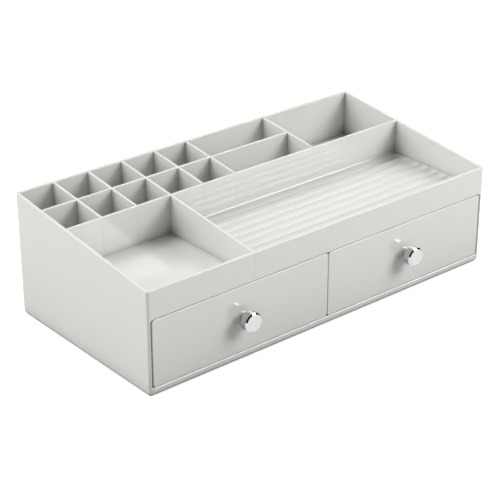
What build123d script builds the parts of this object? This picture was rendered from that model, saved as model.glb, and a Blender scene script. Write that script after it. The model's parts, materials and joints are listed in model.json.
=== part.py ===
from build123d import *
import os

# Makeup organizer: one moulded case with open compartments above two drawers.
# Millimetres. X runs to the right, Y to the back and Z up, and the front faces -Y.
# The origin is on the table, under the middle of the box round the part, knobs included.

# Case: outer sizes and walls
case_width = 310.0
case_depth = 151.0
wall = 2.2
edge_radius = 2.1
sill_height = 5.0
floor_thickness = 2.3
bay_height = 50.3
deck_thickness = 2.2
front_tray_depth = 18.7
rim_rise = 17.1
rim_round = 0.5

# Compartments above the deck
divider = 1.8
cell_columns = 5
cell_width = 27.4
long_cell_length = 73.0
tray_run = 88.5
tray_divider_column = 3

# Grooved floor of the long tray
groove_count = 9
groove_depth = 1.5
groove_floor = 1.1
groove_margin = 1.6
groove_land = 0.4
tray_cove = 1.6

# Drawer bay
web_thickness = 2.0
bay_corner = 2.4
bay_edge_chamfer = 0.4

# Drawers and their running clearances
front_thickness = 2.6
front_corner = 2.0
front_edge_chamfer = 0.3
side_reveal = 1.0
top_reveal = 0.4
bottom_reveal = 0.5
middle_gap = 0.4
web_clearance = 0.4
slide_clearance = 0.5
floor_clearance = 0.3
back_clearance = 0.3
drawer_wall = 1.8
drawer_floor = 1.8
drawer_side_drop = 5.5
drawer_corner = 3.0
drawer_inner_corner = 2.0
drawer_inner_round = 1.5
drawer_rim_chamfer = 0.4

# Knobs and their screws
knob_lift = 0.8
knob_neck_diameter = 8.0
knob_neck_length = 5.2
knob_head_diameter = 14.4
knob_head_thickness = 5.6
knob_head_chamfer = 1.0
screw_diameter = 4.0
screw_engagement = 5.5
screw_end_clearance = 1.0
screw_hole_clearance = 0.4
tapped_hole_clearance = 0.1
screw_head_diameter = 7.6
screw_head_height = 2.4
screw_head_chamfer = 0.9
screw_slot_width = 1.2
screw_slot_length = 4.4
screw_slot_depth = 1.3

# Feet and the hollow underside
foot_diameter = 10.0
foot_height = 0.8
foot_sink = 0.8
foot_inset = 14.0
foot_fit = 0.3
skirt_width = 8.0
foot_pad_width = 20.0

# One overrun for every cut that leaves the material, and the slope of a cut chamfer in degrees
overrun = 5.0
chamfer_angle = 45.0

# Levels and places that follow from the sizes above
knob_reach = knob_neck_length + knob_head_thickness
front_y = (knob_reach - case_depth) / 2
back_y = front_y + case_depth
left_x = -case_width / 2
right_x = case_width / 2
inner_left_x = left_x + wall
inner_right_x = right_x - wall
inner_front_y = front_y + wall
inner_back_y = back_y - wall
base_z = foot_height
bay_floor_z = base_z + sill_height
bay_roof_z = bay_floor_z + bay_height
deck_z = bay_roof_z + deck_thickness
grooved_z = deck_z + groove_floor + groove_depth
front_rim_z = deck_z + front_tray_depth
back_rim_z = front_rim_z + rim_rise
partition_front_y = inner_front_y + tray_run
partition_back_y = partition_front_y + divider
row_run = (inner_back_y - partition_back_y - divider) / 2
middle_row_y = partition_back_y + row_run + divider

# Left edge of each column of cells, and of the long and the big cells after them
column_xs = [inner_left_x + i * (cell_width + divider) for i in range(cell_columns)]
long_cell_x = column_xs[-1] + cell_width + divider
big_cell_x = long_cell_x + long_cell_length + divider
long_tray_x = inner_left_x + tray_divider_column * (cell_width + divider)
flat_tray_end_x = long_tray_x - divider

# Drawer fronts, boxes and knobs, for the drawer on the left
web_front_y = front_y + front_thickness + web_clearance
front_left_x = inner_left_x + side_reveal
front_right_x = -middle_gap / 2
front_bottom_z = bay_floor_z + bottom_reveal
front_top_z = bay_roof_z - top_reveal
front_inner_y = front_y + front_thickness
box_left_x = inner_left_x + slide_clearance
box_right_x = -web_thickness / 2 - slide_clearance
box_back_y = inner_back_y - back_clearance
box_bottom_z = bay_floor_z + floor_clearance
box_top_z = front_top_z - drawer_side_drop
knob_x = (front_left_x + front_right_x) / 2
knob_z = (front_bottom_z + front_top_z) / 2 + knob_lift


def tub(x0, x1, y0, y1, floor_z, top_z, corner, floor_round):
    """Solid with rounded upright corners and a rounded lower edge, used as a box or to cut a hollow."""
    outline = Pos((x0 + x1) / 2, (y0 + y1) / 2, floor_z) * RectangleRounded(x1 - x0, y1 - y0, corner)
    body = extrude(outline, amount=top_z - floor_z)
    return fillet(body.faces().sort_by(Axis.Z)[0].edges(), floor_round)


def tunnel(x0, x1, z0, z1, y0, y1, corner):
    """Solid with rounded edges along Y, used as a plate or to cut a bay from the front."""
    plane = Plane(origin=((x0 + x1) / 2, y0, (z0 + z1) / 2), x_dir=(1, 0, 0), z_dir=(0, 1, 0))
    return extrude(plane * RectangleRounded(x1 - x0, z1 - z0, corner), amount=y1 - y0)


def case_block():
    """Outer form: a wedge-topped block with rounded uprights and lower edges."""
    side = Polyline(
        (front_y, base_z),
        (back_y, base_z),
        (back_y, back_rim_z),
        (front_y, front_rim_z),
        close=True,
    )
    block = extrude(Plane.YZ * make_face(side), amount=case_width / 2, both=True)
    rounded = block.edges().filter_by(Axis.Z) + block.faces().sort_by(Axis.Z)[0].edges()
    return fillet(rounded, edge_radius)


def compartment(x0, x1, y0, y1, floor_z):
    """Square-cornered hollow, open above the highest rim."""
    outline = Pos((x0 + x1) / 2, (y0 + y1) / 2, floor_z) * Rectangle(x1 - x0, y1 - y0)
    return extrude(outline, amount=back_rim_z + overrun - floor_z)


def compartments():
    """Every hollow above the deck: two rows of cells, two long cells, one big cell and two trays."""
    rows = [(partition_back_y, partition_back_y + row_run), (middle_row_y, inner_back_y)]
    columns = [(x, x + cell_width) for x in column_xs]
    columns.append((long_cell_x, long_cell_x + long_cell_length))
    hollows = [compartment(x0, x1, y0, y1, deck_z) for x0, x1 in columns for y0, y1 in rows]
    hollows.append(compartment(big_cell_x, inner_right_x, partition_back_y, inner_back_y, deck_z))
    hollows.append(compartment(inner_left_x, flat_tray_end_x, inner_front_y, partition_front_y, deck_z))
    long_tray = compartment(long_tray_x, inner_right_x, inner_front_y, partition_front_y, grooved_z)
    back_edge = long_tray.faces().sort_by(Axis.Z)[0].edges().sort_by(Axis.Y)[-1]
    hollows.append(fillet(back_edge, tray_cove))
    return hollows


def grooves():
    """Round-ended grooves side by side over the floor of the long tray."""
    pitch = (tray_run - 2 * groove_margin) / groove_count
    width = pitch - groove_land
    radius = (width**2 / 4 + groove_depth**2) / (2 * groove_depth)
    half_run = (inner_right_x - long_tray_x) / 2 - groove_margin - width / 2
    profile = make_face(
        [
            CenterArc((half_run, 0), radius, 0, 90),
            Line((half_run, radius), (-half_run, radius)),
            CenterArc((-half_run, 0), radius, 90, 90),
            Line((-half_run - radius, 0), (half_run + radius, 0)),
        ]
    )
    groove = split(revolve(profile, axis=Axis.X), Plane.XY.offset(groove_depth - radius), keep=Keep.BOTTOM)
    middle_x = (long_tray_x + inner_right_x) / 2
    axis_z = grooved_z - groove_depth + radius
    first_y = inner_front_y + groove_margin + pitch / 2
    return [Pos(middle_x, first_y + i * pitch, axis_z) * groove for i in range(groove_count)]


def drawer_bays():
    """A shallow recess for both drawer fronts, and a bay behind it on each side of the web."""
    fronts = tunnel(
        inner_left_x, inner_right_x, bay_floor_z, bay_roof_z, front_y - overrun, web_front_y, bay_corner
    )
    bay = tunnel(
        inner_left_x, -web_thickness / 2, bay_floor_z, bay_roof_z, web_front_y, inner_back_y, bay_corner
    )
    mouth = Plane(origin=(0, front_y, (bay_floor_z + bay_roof_z) / 2), x_dir=(1, 0, 0), z_dir=(0, 1, 0))
    flare = extrude(
        mouth
        * RectangleRounded(
            inner_right_x - inner_left_x + 2 * bay_edge_chamfer,
            bay_height + 2 * bay_edge_chamfer,
            bay_corner + bay_edge_chamfer,
        ),
        amount=bay_edge_chamfer,
        taper=chamfer_angle,
    )
    return [fronts, flare, bay, mirror(bay, about=Plane.YZ)]


def foot_places():
    """Name and centre of each foot."""
    xs = {"left": left_x + foot_inset, "right": right_x - foot_inset}
    ys = {"front": front_y + foot_inset, "back": back_y - foot_inset}
    return {f"foot_{row}_{side}": (x, y) for row, y in ys.items() for side, x in xs.items()}


def underside():
    """Hollow under the floor, inside a skirt, with a pad left in each corner and a seat sunk in it."""
    hollow_top_z = bay_floor_z - floor_thickness
    outline = Pos(0, (front_y + back_y) / 2, hollow_top_z) * Rectangle(
        case_width - 2 * skirt_width, case_depth - 2 * skirt_width
    )
    seats = []
    for x, y in foot_places().values():
        outline -= Pos(x, y, hollow_top_z) * Rectangle(foot_pad_width, foot_pad_width)
        seats.append(
            Pos(x, y, base_z + foot_sink)
            * Cylinder(
                foot_diameter / 2 + foot_fit,
                foot_sink + overrun,
                align=(Align.CENTER, Align.CENTER, Align.MAX),
            )
        )
    return [extrude(outline, amount=-sill_height)] + seats


def make_case():
    body = case_block() - compartments()
    upward = [f for f in body.faces() if f.center().Z > grooved_z and f.normal_at().Z > abs(f.normal_at().Y)]
    rim = max(upward, key=lambda f: f.area)
    body = fillet(rim.edges(), rim_round)
    return body - grooves() - drawer_bays() - underside()


def make_drawer():
    """The drawer on the left: front and box in one moulding, with the screw hole in its front."""
    front = tunnel(
        front_left_x, front_right_x, front_bottom_z, front_top_z, front_y, front_inner_y, front_corner
    )
    front = chamfer(front.faces().sort_by(Axis.Y)[0].edges(), front_edge_chamfer)
    box = tub(
        box_left_x,
        box_right_x,
        front_inner_y - drawer_corner,
        box_back_y,
        box_bottom_z,
        box_top_z,
        drawer_corner,
        bay_corner,
    )
    box = split(box, Plane.XZ.offset(-front_inner_y), keep=Keep.BOTTOM)
    box -= tub(
        box_left_x + drawer_wall,
        box_right_x - drawer_wall,
        front_inner_y,
        box_back_y - drawer_wall,
        box_bottom_z + drawer_floor,
        front_top_z + overrun,
        drawer_inner_corner,
        drawer_inner_round,
    )
    rim = box.faces().sort_by(Axis.Z)[-1].edges().sort_by(Axis.Y)
    box = chamfer(rim[2:], drawer_rim_chamfer)  # but for the two ends that meet the front
    hole = Plane(origin=(knob_x, front_y, knob_z), z_dir=(0, 1, 0)) * Cylinder(
        (screw_diameter + screw_hole_clearance) / 2, 2 * front_thickness
    )
    return front + box - hole


def make_knob():
    """Turned knob on the Y axis: a neck and a chamfered head, tapped from behind."""
    neck = knob_neck_diameter / 2
    head = knob_head_diameter / 2
    outline = Polyline(
        (0, 0),
        (neck, 0),
        (neck, -knob_neck_length),
        (head, -knob_neck_length),
        (head, knob_head_chamfer - knob_reach),
        (head - knob_head_chamfer, -knob_reach),
        (0, -knob_reach),
        close=True,
    )
    bore_length = screw_engagement + screw_end_clearance
    bore = Plane(origin=(0, 0, 0), z_dir=(0, -1, 0)) * Cylinder(
        (screw_diameter + tapped_hole_clearance) / 2,
        bore_length,
        align=(Align.CENTER, Align.CENTER, Align.MIN),
    )
    return revolve(make_face(outline), axis=Axis.Y) - bore


def make_screw():
    """Pan-head screw on the Y axis, its head behind the drawer front and its tip in the knob."""
    shank = screw_diameter / 2
    head = screw_head_diameter / 2
    tip = -front_thickness - screw_engagement
    outline = Polyline(
        (0, tip), (shank, tip), (shank, 0), (head, 0), (head, screw_head_height), (0, screw_head_height),
        close=True,
    )
    screw = revolve(make_face(outline), axis=Axis.Y)
    screw = chamfer(screw.faces().sort_by(Axis.Y)[-1].edges(), screw_head_chamfer)
    slot = Pos(0, screw_head_height - screw_slot_depth / 2, 0) * Box(
        screw_slot_width, screw_slot_depth, screw_slot_length
    )
    return screw - slot - Rot(0, 90, 0) * slot


def make_foot():
    return Cylinder(
        foot_diameter / 2, foot_height + foot_sink, align=(Align.CENTER, Align.CENTER, Align.MIN)
    )


def make_parts():
    parts = {"case_body": make_case()}
    drawer = make_drawer()
    knob = Pos(knob_x, front_y, knob_z) * make_knob()
    screw = Pos(knob_x, front_inner_y, knob_z) * make_screw()
    for name, piece in {"drawer": drawer, "knob": knob, "knob_screw": screw}.items():
        parts[f"{name}_left"] = piece
        parts[f"{name}_right"] = mirror(piece, about=Plane.YZ)
    for name, (x, y) in foot_places().items():
        parts[name] = Pos(x, y, 0) * make_foot()
    return parts


os.makedirs("parts", exist_ok=True)
for node, shape in make_parts().items():
    export_step(shape, f"parts/{node}.step")
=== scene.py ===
import json
from math import cos, radians, sin

import bpy
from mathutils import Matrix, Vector


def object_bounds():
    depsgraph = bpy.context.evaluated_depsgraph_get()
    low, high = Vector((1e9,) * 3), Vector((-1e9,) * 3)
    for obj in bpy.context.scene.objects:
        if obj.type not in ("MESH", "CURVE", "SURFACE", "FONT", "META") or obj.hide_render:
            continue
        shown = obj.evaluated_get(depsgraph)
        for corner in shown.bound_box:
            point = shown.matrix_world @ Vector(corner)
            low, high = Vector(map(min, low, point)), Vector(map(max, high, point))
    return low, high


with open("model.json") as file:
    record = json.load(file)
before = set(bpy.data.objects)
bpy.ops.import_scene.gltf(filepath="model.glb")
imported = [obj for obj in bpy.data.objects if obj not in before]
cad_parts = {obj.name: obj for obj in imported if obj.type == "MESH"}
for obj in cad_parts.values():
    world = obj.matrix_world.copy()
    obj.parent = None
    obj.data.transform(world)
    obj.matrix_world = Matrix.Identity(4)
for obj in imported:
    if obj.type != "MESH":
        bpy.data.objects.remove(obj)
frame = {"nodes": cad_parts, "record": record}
cad_low, cad_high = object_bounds()
nodes = frame["nodes"]
white = (1.0, 1.0, 1.0, 1.0)

# Camera, fitted to the straight edges of the organizer: metres, degrees and millimetres
camera_place = (-0.6647, -0.7798, 0.5377)
camera_turn = -39.925
camera_drop = 26.299
camera_lens_mm = 113.34
camera_sensor_mm = 36.0

# Soft boxes on a dome: bearing from the front to the right and height in degrees, side in metres, watts
lamp_distance = 1.5
lamps = {
    "key": (42, 34, 0.75, 15.8),
    "right_low": (45, 12, 0.8, 4.1),
    "front_left_low": (315, 12, 0.8, 2.1),
    "left_low": (270, 12, 0.8, 2.7),
    "left_high": (270, 36, 0.8, 2.5),
    "back_left": (225, 36, 1.2, 9.3),
    "back_high": (210, 62, 0.55, 5.7),
}
lamps_out_of_mirrors = ("front_left_low",)
lamp_color = (1.0, 0.995, 0.972)

# Room: its strength in front of the organizer and behind it, and the Y of a direction while it turns
room_front = 0.03
room_back = 0.7
room_turn = (0.0, 0.35)

# Floor: its grey, with painted shadow close to the case where it throws less light back, with lengths in
# metres
floor_half_side = 6.0
floor_grey = 0.45
floor_shadow_paint_share = 0.25
floor_shadow_paint_reach = 0.06

# Glow of the floor for the camera: under the case, beside it and far away, with distances in metres; the
# low glow under the case's foot is a painted contact shadow
floor_glow_in_painted_shadow = 0.2
floor_glow = 0.75
floor_glow_far = 1.0
painted_shadow_glow_edge = (0.0, 0.0008)
floor_glow_rise = (0.3, 1.5)
floor_gap_inset = 0.0018

# Glow of the floor in mirrors, as a sheet of paper round the case, with distances in metres; its fading
# out close to the case is a painted shadow in mirrors
paper_glow = 0.75
paper_painted_shadow_edge = (0.0, 0.012)
paper_end = (0.30, 0.45)

# Noise: where most of its values lie, and the detail of clouds and of the finer skin
noise_range = (0.3, 0.7)
cloud_detail = 3.0
skin_detail = 2.0

# Plastic: linear colours, clouds per metre, and lengths in metres
plastic_dark = (0.709, 0.705, 0.688, 1.0)
plastic_light = (0.729, 0.725, 0.708, 1.0)
plastic_clouds = 16.0
plastic_ior = 1.65
plastic_roughness = (0.03, 0.06)
gloss_clouds = 60.0
skin_clouds = 420.0
skin_depth = 0.000002
edge_softness = 0.0003
edge_samples = 4

# Painted shade in the inner corners and crevices of the plastic: its colour, reach in metres, and the
# openness from which on no shade is painted
corner_painted_shade = (0.26, 0.30, 0.31, 1.0)
corner_reach = 0.012
corner_open = 0.7
crevice_painted_shade = (0.70, 0.71, 0.71, 1.0)
crevice_reach = 0.004
crevice_open = 0.6
openness_samples = 8

# Painted shade on faint sink-mark lines in front of the dividers: half-width in metres and the shade's
# colour
sink_half_width = 0.002
sink_painted_shade = (0.965, 0.965, 0.965, 1.0)

# Chrome, zinc and rubber: two linear colours, roughness, clouds per metre, and depth in metres
chrome_colors = ((0.58, 0.58, 0.59, 1.0), (0.64, 0.64, 0.65, 1.0))
chrome_roughness = (0.03, 0.07)
chrome_clouds = 250.0
zinc_colors = ((0.52, 0.52, 0.50, 1.0), (0.66, 0.66, 0.65, 1.0))
zinc_roughness = (0.22, 0.38)
zinc_clouds = 900.0
metal_depth = 0.000005
rubber_colors = ((0.30, 0.30, 0.29, 1.0), (0.38, 0.38, 0.37, 1.0))
rubber_roughness = (0.6, 0.85)
rubber_clouds = 2500.0
rubber_depth = 0.00003

# Where a divider stands behind the partition or the front wall, from the stated compartments
hollows = {row["name"]: row["box_m"] for row in frame["record"]["physics"]["openings"]}
back_row = [f"cell_front_{i}" for i in range(1, 6)] + ["long_cell_front", "big_cell"]
divider_xs = [(hollows[a][1][0] + hollows[b][0][0]) / 2 for a, b in zip(back_row, back_row[1:])]
tray_divider_x = (hollows["flat_tray"][1][0] + hollows["grooved_tray"][0][0]) / 2
partition_y = hollows["flat_tray"][1][1]
case_low, case_high = nodes["case_body"].bound_box[0], nodes["case_body"].bound_box[6]


def new_node(tree, kind, inputs=None, **settings):
    """A node with some of its settings and some of its unlinked inputs filled in."""
    made = tree.nodes.new(kind)
    for name, value in settings.items():
        setattr(made, name, value)
    for name, value in (inputs or {}).items():
        made.inputs[name].default_value = value
    return made


def new_material(name):
    """A material with its node tree and its main shader."""
    material = bpy.data.materials.new(name)
    material.use_nodes = True
    tree = material.node_tree
    return material, tree, tree.nodes["Principled BSDF"]


def own_axes(tree, coordinates="Object"):
    """The X, Y and Z sockets of a point, in the piece's own coordinates unless others are named."""
    place = new_node(tree, "ShaderNodeTexCoord")
    axes = new_node(tree, "ShaderNodeSeparateXYZ")
    tree.links.new(place.outputs[coordinates], axes.inputs["Vector"])
    return axes.outputs


def noise(tree, scale, detail):
    """Cloudy value from 0 to 1 in the piece's own coordinates; scale is clouds per metre."""
    place = new_node(tree, "ShaderNodeTexCoord")
    made = new_node(tree, "ShaderNodeTexNoise", {"Scale": scale, "Detail": detail})
    tree.links.new(place.outputs["Object"], made.inputs["Vector"])
    return made.outputs["Fac"]


def combine(tree, operation, *values):
    """One operation on values, each a socket or a number."""
    made = new_node(tree, "ShaderNodeMath", operation=operation)
    for socket, value in zip(made.inputs, values):
        if isinstance(value, bpy.types.NodeSocket):
            tree.links.new(value, socket)
        else:
            socket.default_value = value
    return made.outputs["Value"]


def spread(tree, value, start, end, low, high, smooth=False):
    """Maps a value that runs from start to end onto low to high, and holds it there."""
    kind = "SMOOTHSTEP" if smooth else "LINEAR"
    ends = {"From Min": start, "From Max": end, "To Min": low, "To Max": high}
    made = new_node(tree, "ShaderNodeMapRange", ends, interpolation_type=kind)
    tree.links.new(value, made.inputs["Value"])
    return made.outputs["Result"]


def ramp(tree, value, first, last, end=1.0):
    """Colour from the first at 0 to the last at the end value."""
    made = new_node(tree, "ShaderNodeValToRGB")
    made.color_ramp.elements[0].color = first
    made.color_ramp.elements[1].color = last
    made.color_ramp.elements[1].position = end
    tree.links.new(value, made.inputs["Fac"])
    return made.outputs["Color"]


def tinted(tree, color, tint):
    """The colour times the tint."""
    made = new_node(tree, "ShaderNodeVectorMath", operation="MULTIPLY")
    tree.links.new(color, made.inputs[0])
    tree.links.new(tint, made.inputs[1])
    return made.outputs["Vector"]


def with_painted_shade(tree, color, shade, reach, fully_open, local):
    """The colour with painted shade, darker where the surface is hemmed in within reach, by its own piece
    alone if local.
    """
    settings = {"samples": openness_samples, "only_local": local}
    openness = new_node(tree, "ShaderNodeAmbientOcclusion", {"Distance": reach}, **settings)
    return tinted(tree, color, ramp(tree, openness.outputs["AO"], shade, white, fully_open))


def roughen(tree, shader, value, roughness):
    """Roughness between two limits, by a cloudy value."""
    tree.links.new(spread(tree, value, *noise_range, *roughness), shader.inputs["Roughness"])


def uneven(tree, shader, value, depth):
    """Bump by a cloudy value; returns its node."""
    bump = new_node(tree, "ShaderNodeBump", {"Distance": depth})
    tree.links.new(value, bump.inputs["Height"])
    tree.links.new(bump.outputs["Normal"], shader.inputs["Normal"])
    return bump


def painted_sink_line_mask(tree):
    """Mask for painted shade: 1 on the faint upright sink-mark lines in front of each divider, 0
    elsewhere.
    """
    axes = own_axes(tree)
    total = None
    for x, y in [(x, partition_y) for x in divider_xs] + [(tray_divider_x, case_low[1])]:
        across = combine(tree, "ABSOLUTE", combine(tree, "SUBTRACT", axes["X"], x))
        along = combine(tree, "ABSOLUTE", combine(tree, "SUBTRACT", axes["Y"], y))
        line = spread(tree, across, 0.0, sink_half_width, 1.0, 0.0, smooth=True)
        line = combine(tree, "MULTIPLY", line, combine(tree, "LESS_THAN", along, sink_half_width))
        total = line if total is None else combine(tree, "ADD", total, line)
    return total


def make_plastic(name, paint_sink_lines):
    """Glossy moulded plastic with flow clouds, a slightly uneven skin, and painted shade in inner corners
    and crevices and, where asked, on sink-mark lines.
    """
    material, tree, shader = new_material(name)
    color = ramp(tree, noise(tree, plastic_clouds, cloud_detail), plastic_dark, plastic_light)
    # Painted shade: faint darker lines where sink marks dip in front of the dividers
    if paint_sink_lines:
        color = tinted(tree, color, ramp(tree, painted_sink_line_mask(tree), white, sink_painted_shade))
    # Painted shade: the base colour is darkened in inner corners and in crevices such as the drawer gaps
    # and the bottom edge
    color = with_painted_shade(tree, color, corner_painted_shade, corner_reach, corner_open, True)
    color = with_painted_shade(tree, color, crevice_painted_shade, crevice_reach, crevice_open, False)
    tree.links.new(color, shader.inputs["Base Color"])
    shader.inputs["IOR"].default_value = plastic_ior
    roughen(tree, shader, noise(tree, gloss_clouds, skin_detail), plastic_roughness)
    skin = uneven(tree, shader, noise(tree, skin_clouds, skin_detail), skin_depth)
    soft = new_node(tree, "ShaderNodeBevel", {"Radius": edge_softness}, samples=edge_samples)
    tree.links.new(soft.outputs["Normal"], skin.inputs["Normal"])
    return material


def make_drifting(name, metallic, colors, roughness, clouds, depth):
    """A material whose colour, gloss and height drift together over the surface."""
    material, tree, shader = new_material(name)
    shader.inputs["Metallic"].default_value = metallic
    haze = noise(tree, clouds, cloud_detail)
    tree.links.new(ramp(tree, haze, *colors), shader.inputs["Base Color"])
    roughen(tree, shader, haze, roughness)
    uneven(tree, shader, haze, depth)
    return material


def dress():
    """Gives each node the finish of its kind."""
    rubber = (rubber_colors, rubber_roughness, rubber_clouds, rubber_depth)
    zinc = (zinc_colors, zinc_roughness, zinc_clouds, metal_depth)
    chrome = (chrome_colors, chrome_roughness, chrome_clouds, metal_depth)
    finishes = {
        "case": make_plastic("case_plastic", paint_sink_lines=True),
        "drawer": make_plastic("drawer_plastic", paint_sink_lines=False),
        "knob_screw": make_drifting("zinc_plate", 1.0, *zinc),
        "knob": make_drifting("chrome_plate", 1.0, *chrome),
        "foot": make_drifting("foot_rubber", 0.0, *rubber),
    }
    for name, piece in nodes.items():
        kind = max((key for key in finishes if name.startswith(key)), key=len)
        piece.data.materials.clear()
        piece.data.materials.append(finishes[kind])


def make_lamp(name, middle, bearing, height, side, watts):
    """A square soft box on the dome, turned to the middle of the organizer."""
    data = bpy.data.lights.new(name, "AREA")
    data.size = side
    data.energy = watts
    data.color = lamp_color
    lamp = bpy.data.objects.new(name, data)
    a, e = radians(bearing), radians(height)
    away = Vector((sin(a) * cos(e), -cos(a) * cos(e), sin(e)))
    lamp.location = middle + lamp_distance * away
    lamp.rotation_euler = (-away).to_track_quat("-Z", "Y").to_euler()
    lamp.visible_glossy = name not in lamps_out_of_mirrors
    bpy.context.scene.collection.objects.link(lamp)


def make_room():
    """A room with a pale wall at the back, which the camera sees as white."""
    room = bpy.data.worlds.new("room")
    room.use_nodes = True
    bpy.context.scene.world = room
    tree = room.node_tree
    sky = tree.nodes["Background"]
    sky.inputs["Color"].default_value = white
    path = new_node(tree, "ShaderNodeLightPath")
    towards_back = own_axes(tree, "Generated")["Y"]
    wall = spread(tree, towards_back, *room_turn, room_front, room_back, smooth=True)
    tree.links.new(combine(tree, "MAXIMUM", wall, path.outputs["Is Camera Ray"]), sky.inputs["Strength"])


def footprint_distance(tree):
    """How far a point of the floor is from the foot of the case, and 0 under it."""
    axes = own_axes(tree)
    squares = []
    for axis, start, end in zip("XY", case_low, case_high):
        off = combine(tree, "SUBTRACT", axes[axis], (start + end) / 2)
        half = (end - start) / 2 - floor_gap_inset
        past = combine(tree, "SUBTRACT", combine(tree, "ABSOLUTE", off), half)
        past = combine(tree, "MAXIMUM", past, 0.0)
        squares.append(combine(tree, "MULTIPLY", past, past))
    return combine(tree, "SQRT", combine(tree, "ADD", *squares))


def make_paper():
    """White paper: bright for the camera and in mirrors, with painted shadow at the case: a darker grey
    for bounced light beside it, low glow for the camera under its foot, and no glow in mirrors close to
    it.
    """
    material, tree, shader = new_material("paper")
    path = new_node(tree, "ShaderNodeLightPath")
    distance = footprint_distance(tree)
    # Painted shadow: for bounced light the floor is darker close to the case
    painted_shadow_grey = floor_grey * floor_shadow_paint_share
    bounce_grey_with_painted_shadow = spread(tree, distance, 0.0, floor_shadow_paint_reach, painted_shadow_grey, floor_grey, smooth=True)
    seen_grey = spread(tree, path.outputs["Is Diffuse Ray"], 0.0, 1.0, floor_grey, 0.0)
    # Painted contact shadow: low glow under the case and a quick rise just past its foot
    glow_with_painted_shadow = spread(tree, distance, *painted_shadow_glow_edge, floor_glow_in_painted_shadow, floor_glow)
    far_glow = spread(tree, distance, *floor_glow_rise, 0.0, floor_glow_far - floor_glow)
    glow = combine(tree, "ADD", glow_with_painted_shadow, far_glow)
    glow = combine(tree, "MULTIPLY", glow, path.outputs["Is Camera Ray"])
    # Painted shadow in mirrors: no glow close to the case
    mirror_glow_past_painted_shadow = spread(tree, distance, *paper_painted_shadow_edge, 0.0, paper_glow, smooth=True)
    outer_edge = spread(tree, distance, *paper_end, 1.0, 0.0, smooth=True)
    mirrored = combine(tree, "MULTIPLY", mirror_glow_past_painted_shadow, outer_edge)
    mirrored = combine(tree, "MULTIPLY", mirrored, path.outputs["Is Glossy Ray"])
    tree.links.new(combine(tree, "MAXIMUM", bounce_grey_with_painted_shadow, seen_grey), shader.inputs["Base Color"])
    tree.links.new(combine(tree, "ADD", glow, mirrored), shader.inputs["Emission Strength"])
    shader.inputs["Emission Color"].default_value = white
    shader.inputs["Specular IOR Level"].default_value = 0.0
    return material


def make_floor():
    """A flat sheet under the organizer, which keeps its shadow."""
    s = floor_half_side
    mesh = bpy.data.meshes.new("floor")
    mesh.from_pydata([(-s, -s, 0), (s, -s, 0), (s, s, 0), (-s, s, 0)], [], [(0, 1, 2, 3)])
    mesh.materials.append(make_paper())
    floor = bpy.data.objects.new("floor", mesh)
    bpy.context.scene.collection.objects.link(floor)


def make_camera():
    """A plain camera at the photograph's angle."""
    data = bpy.data.cameras.new("camera")
    data.lens = camera_lens_mm
    data.sensor_width = camera_sensor_mm
    camera = bpy.data.objects.new("camera", data)
    camera.location = camera_place
    camera.rotation_euler = (radians(90 - camera_drop), 0, radians(camera_turn))
    bpy.context.scene.collection.objects.link(camera)
    bpy.context.scene.camera = camera


dress()
make_room()
make_floor()
make_camera()
for lamp_name, setting in lamps.items():
    make_lamp(lamp_name, (cad_low + cad_high) / 2, *setting)
bpy.context.scene.view_settings.view_transform = "Standard"
